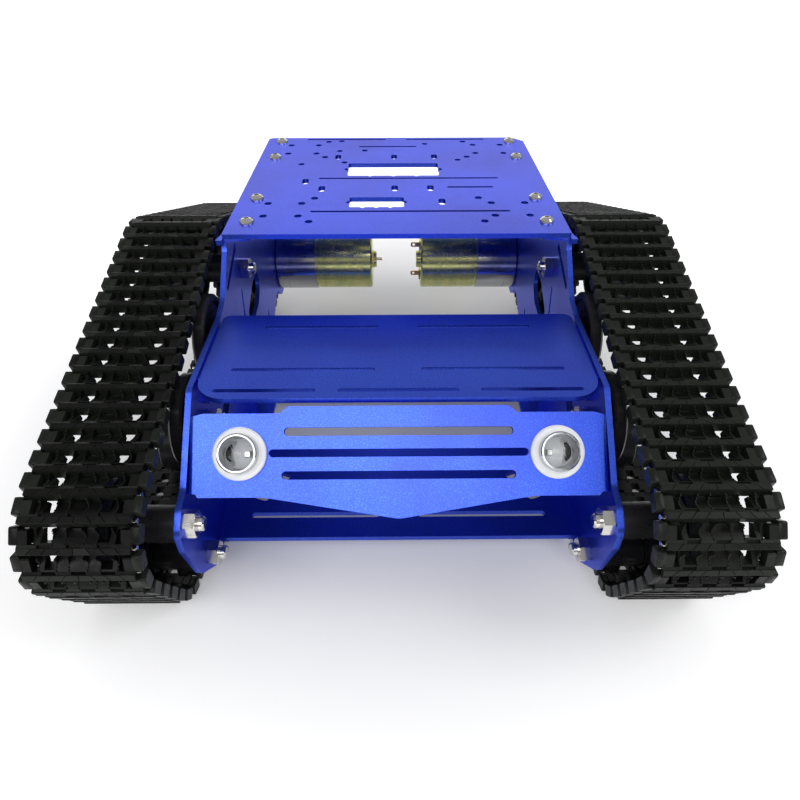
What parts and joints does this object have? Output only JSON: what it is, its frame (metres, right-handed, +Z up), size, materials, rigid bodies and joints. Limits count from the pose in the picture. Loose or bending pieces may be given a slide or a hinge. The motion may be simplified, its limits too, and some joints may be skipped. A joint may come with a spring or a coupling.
{
  "type": "tracked tank chassis",
  "caption": "Tracked robot chassis: blue anodised sheet-metal body with a drilled top deck, slotted sloping nose with two lamps, geared motors and black link tracks.",
  "frame": {"origin": "centre of the bounding box in X and Y, at the underside of the tracks", "axes": "+X to the chassis's own left when it faces -Y, +Y to the rear, +Z up"},
  "size_m": [0.2224, 0.2594, 0.0988],
  "materials": {
    "plate_blue": "fine-blasted blue anodising",
    "bright_steel": "bright nickel plate",
    "track_nylon": "moulded, satin",
    "wheel_nylon": "moulded, satin",
    "gearbox_steel": "turned and polished",
    "can_zinc": "yellow zinc plate",
    "chrome": "polished",
    "frosted_ring": "frosted",
    "lamp_clear": "clear, polished",
    "brass": "stamped",
    "bearing_steel": "ground"
  },
  "bodies": {
    "chassis": {"axle_bolts": "bright_steel", "axle_nuts": "bright_steel", "axle_spacers": "wheel_nylon", "bottom_plate": "plate_blue", "deck_nuts": "bright_steel", "deck_plate": "plate_blue", "deck_screws": "bright_steel", "front_panel": "plate_blue", "hood_plate": "plate_blue", "lamp_bezels": "chrome", "lamp_lenses": "lamp_clear", "lamp_nuts": "bright_steel", "lamp_washers": "frosted_ring", "motor_can_left": "can_zinc", "motor_can_right": "can_zinc", "motor_gearbox_left": "gearbox_steel", "motor_gearbox_right": "gearbox_steel", "motor_screws": "bright_steel", "motor_terminals_left": "brass", "motor_terminals_right": "brass", "roller_bolts": "bright_steel", "side_nuts": "bright_steel", "side_plate_left": "plate_blue", "side_plate_right": "plate_blue", "side_screws": "bright_steel", "track_links_left": "track_nylon", "track_links_right": "track_nylon", "track_pins_left": "bright_steel", "track_pins_right": "bright_steel"},
    "drive_left": {"motor_shaft_left": "bright_steel", "sprocket_hub_left": "brass", "drive_sprocket_left": "wheel_nylon"},
    "front_wheel_left": {"front_wheel_left": "wheel_nylon", "front_wheel_bearings_left": "bearing_steel"},
    "upper_wheel_left": {"upper_wheel_left": "wheel_nylon", "upper_wheel_bearings_left": "bearing_steel"},
    "road_wheel_front_left": {"road_wheel_front_left": "wheel_nylon", "road_wheel_front_bearings_left": "bearing_steel"},
    "road_wheel_middle_left": {"road_wheel_middle_left": "wheel_nylon", "road_wheel_middle_bearings_left": "bearing_steel"},
    "road_wheel_rear_left": {"road_wheel_rear_left": "wheel_nylon", "road_wheel_rear_bearings_left": "bearing_steel"},
    "roller_front_left": {"roller_front_left": "wheel_nylon"},
    "roller_rear_left": {"roller_rear_left": "wheel_nylon"},
    "drive_right": {"motor_shaft_right": "bright_steel", "sprocket_hub_right": "brass", "drive_sprocket_right": "wheel_nylon"},
    "front_wheel_right": {"front_wheel_right": "wheel_nylon", "front_wheel_bearings_right": "bearing_steel"},
    "upper_wheel_right": {"upper_wheel_right": "wheel_nylon", "upper_wheel_bearings_right": "bearing_steel"},
    "road_wheel_front_right": {"road_wheel_front_right": "wheel_nylon", "road_wheel_front_bearings_right": "bearing_steel"},
    "road_wheel_middle_right": {"road_wheel_middle_right": "wheel_nylon", "road_wheel_middle_bearings_right": "bearing_steel"},
    "road_wheel_rear_right": {"road_wheel_rear_right": "wheel_nylon", "road_wheel_rear_bearings_right": "bearing_steel"},
    "roller_front_right": {"roller_front_right": "wheel_nylon"},
    "roller_rear_right": {"roller_rear_right": "wheel_nylon"}
  },
  "joints": [
    {"name": "drive_spin_left", "type": "hinge", "parent": "chassis", "child": "drive_left", "pos_m": [-0.0926, 0.09783, 0.03504], "axis": [1, 0, 0], "continuous": true},
    {"name": "front_wheel_left_spin", "type": "hinge", "parent": "chassis", "child": "front_wheel_left", "pos_m": [-0.0926, -0.10747, 0.04504], "axis": [1, 0, 0], "continuous": true},
    {"name": "upper_wheel_left_spin", "type": "hinge", "parent": "chassis", "child": "upper_wheel_left", "pos_m": [-0.0926, 0.01053, 0.07404], "axis": [1, 0, 0], "continuous": true},
    {"name": "road_wheel_front_left_spin", "type": "hinge", "parent": "chassis", "child": "road_wheel_front_left", "pos_m": [-0.0926, -0.09777, 0.01754], "axis": [1, 0, 0], "continuous": true},
    {"name": "road_wheel_middle_left_spin", "type": "hinge", "parent": "chassis", "child": "road_wheel_middle_left", "pos_m": [-0.0926, -0.04017, 0.01754], "axis": [1, 0, 0], "continuous": true},
    {"name": "road_wheel_rear_left_spin", "type": "hinge", "parent": "chassis", "child": "road_wheel_rear_left", "pos_m": [-0.0926, 0.03783, 0.01754], "axis": [1, 0, 0], "continuous": true},
    {"name": "roller_front_left_spin", "type": "hinge", "parent": "chassis", "child": "roller_front_left", "pos_m": [-0.0743, -0.06813, 0.0547], "axis": [1, 0, 0], "continuous": true},
    {"name": "roller_rear_left_spin", "type": "hinge", "parent": "chassis", "child": "roller_rear_left", "pos_m": [-0.0743, -0.0288, 0.06437], "axis": [1, 0, 0], "continuous": true},
    {"name": "drive_spin_right", "type": "hinge", "parent": "chassis", "child": "drive_right", "pos_m": [0.0926, 0.09783, 0.03504], "axis": [1, 0, 0], "continuous": true},
    {"name": "front_wheel_right_spin", "type": "hinge", "parent": "chassis", "child": "front_wheel_right", "pos_m": [0.0926, -0.10747, 0.04504], "axis": [1, 0, 0], "continuous": true},
    {"name": "upper_wheel_right_spin", "type": "hinge", "parent": "chassis", "child": "upper_wheel_right", "pos_m": [0.0926, 0.01053, 0.07404], "axis": [1, 0, 0], "continuous": true},
    {"name": "road_wheel_front_right_spin", "type": "hinge", "parent": "chassis", "child": "road_wheel_front_right", "pos_m": [0.0926, -0.09777, 0.01754], "axis": [1, 0, 0], "continuous": true},
    {"name": "road_wheel_middle_right_spin", "type": "hinge", "parent": "chassis", "child": "road_wheel_middle_right", "pos_m": [0.0926, -0.04017, 0.01754], "axis": [1, 0, 0], "continuous": true},
    {"name": "road_wheel_rear_right_spin", "type": "hinge", "parent": "chassis", "child": "road_wheel_rear_right", "pos_m": [0.0926, 0.03783, 0.01754], "axis": [1, 0, 0], "continuous": true},
    {"name": "roller_front_right_spin", "type": "hinge", "parent": "chassis", "child": "roller_front_right", "pos_m": [0.0743, -0.06813, 0.0547], "axis": [1, 0, 0], "continuous": true},
    {"name": "roller_rear_right_spin", "type": "hinge", "parent": "chassis", "child": "roller_rear_right", "pos_m": [0.0743, -0.0288, 0.06437], "axis": [1, 0, 0], "continuous": true}
  ],
  "couplings": [
    {"joint": "front_wheel_left_spin", "follows": "drive_spin_left", "ratio": 1.5053},
    {"joint": "upper_wheel_left_spin", "follows": "drive_spin_left", "ratio": 1.5053},
    {"joint": "road_wheel_front_left_spin", "follows": "drive_spin_left", "ratio": 2.0177},
    {"joint": "road_wheel_middle_left_spin", "follows": "drive_spin_left", "ratio": 2.0177},
    {"joint": "road_wheel_rear_left_spin", "follows": "drive_spin_left", "ratio": 2.0177},
    {"joint": "roller_front_left_spin", "follows": "drive_spin_left", "ratio": 1.6935},
    {"joint": "roller_rear_left_spin", "follows": "drive_spin_left", "ratio": 1.6935},
    {"joint": "front_wheel_right_spin", "follows": "drive_spin_right", "ratio": 1.5053},
    {"joint": "upper_wheel_right_spin", "follows": "drive_spin_right", "ratio": 1.5053},
    {"joint": "road_wheel_front_right_spin", "follows": "drive_spin_right", "ratio": 2.0177},
    {"joint": "road_wheel_middle_right_spin", "follows": "drive_spin_right", "ratio": 2.0177},
    {"joint": "road_wheel_rear_right_spin", "follows": "drive_spin_right", "ratio": 2.0177},
    {"joint": "roller_front_right_spin", "follows": "drive_spin_right", "ratio": 1.6935},
    {"joint": "roller_rear_right_spin", "follows": "drive_spin_right", "ratio": 1.6935}
  ]
}
